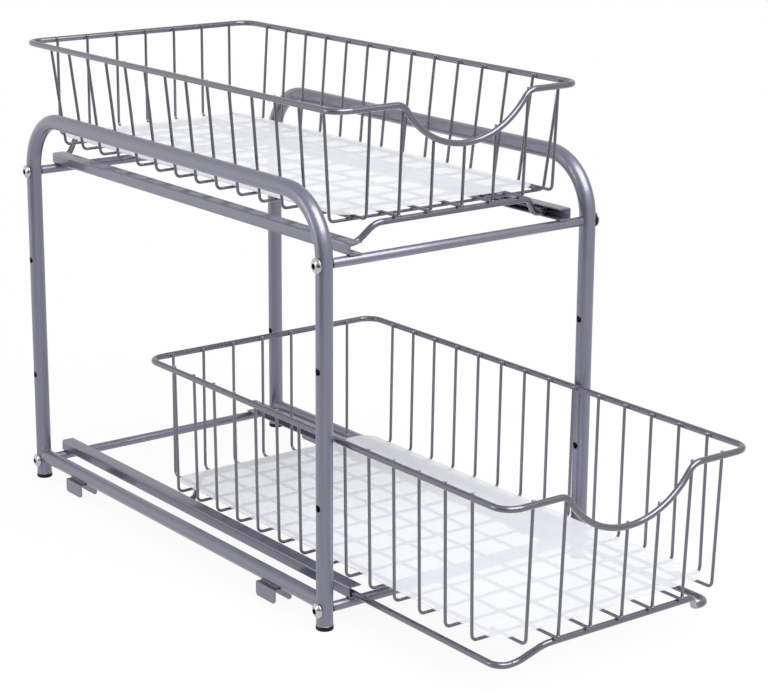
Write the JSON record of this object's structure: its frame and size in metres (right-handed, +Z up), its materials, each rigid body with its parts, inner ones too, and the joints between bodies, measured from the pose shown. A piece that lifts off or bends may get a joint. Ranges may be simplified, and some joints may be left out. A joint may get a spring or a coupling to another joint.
{
  "type": "sliding basket shelf",
  "caption": "Two-tier steel storage shelf: bent-tube frame with wire baskets that slide out on channels, each with a dipped front rim and a plastic floor liner.",
  "frame": {"origin": "on the floor, below the middle of the part's box with the lower basket pulled out as at rest", "axes": "+X to the right, +Y to the back (the baskets pull out towards -Y), +Z up"},
  "size_m": [0.2668, 0.643, 0.3829],
  "materials": {
    "frame_paint": "satin silver-grey paint",
    "wire_paint": "satin silver-grey paint",
    "bolt_chrome": "polished",
    "foot_plastic": "matt black",
    "liner_plastic": "translucent milky sheet"
  },
  "bodies": {
    "frame": {"left_frame_tube": "frame_paint", "right_frame_tube": "frame_paint", "left_side_rail": "frame_paint", "right_side_rail": "frame_paint", "front_left_clip": "frame_paint", "front_right_clip": "frame_paint", "rear_left_clip": "frame_paint", "rear_right_clip": "frame_paint", "front_left_foot": "foot_plastic", "front_right_foot": "foot_plastic", "rear_left_foot": "foot_plastic", "rear_right_foot": "foot_plastic", "upper_front_crossbar": "frame_paint", "upper_rear_crossbar": "frame_paint", "lower_front_crossbar": "frame_paint", "lower_rear_crossbar": "frame_paint", "upper_left_channel": "frame_paint", "upper_right_channel": "frame_paint", "lower_left_channel": "frame_paint", "lower_right_channel": "frame_paint", "upper_bolts": "bolt_chrome", "lower_bolts": "bolt_chrome"},
    "upper_basket": {"upper_rim": "wire_paint", "upper_side_wires": "wire_paint", "upper_floor_wires": "wire_paint", "upper_front_wires": "wire_paint", "upper_corner_wires": "wire_paint", "upper_runner": "wire_paint", "upper_liner": "liner_plastic"},
    "lower_basket": {"lower_rim": "wire_paint", "lower_side_wires": "wire_paint", "lower_floor_wires": "wire_paint", "lower_front_wires": "wire_paint", "lower_corner_wires": "wire_paint", "lower_runner": "wire_paint", "lower_liner": "liner_plastic"}
  },
  "joints": [
    {"name": "upper_basket_slide", "type": "slide", "parent": "frame", "child": "upper_basket", "axis": [0, -1, 0], "range_m": [0, 0.28]},
    {"name": "lower_basket_slide", "type": "slide", "parent": "frame", "child": "lower_basket", "axis": [0, -1, 0], "range_m": [-0.1898, 0.0902]}
  ]
}
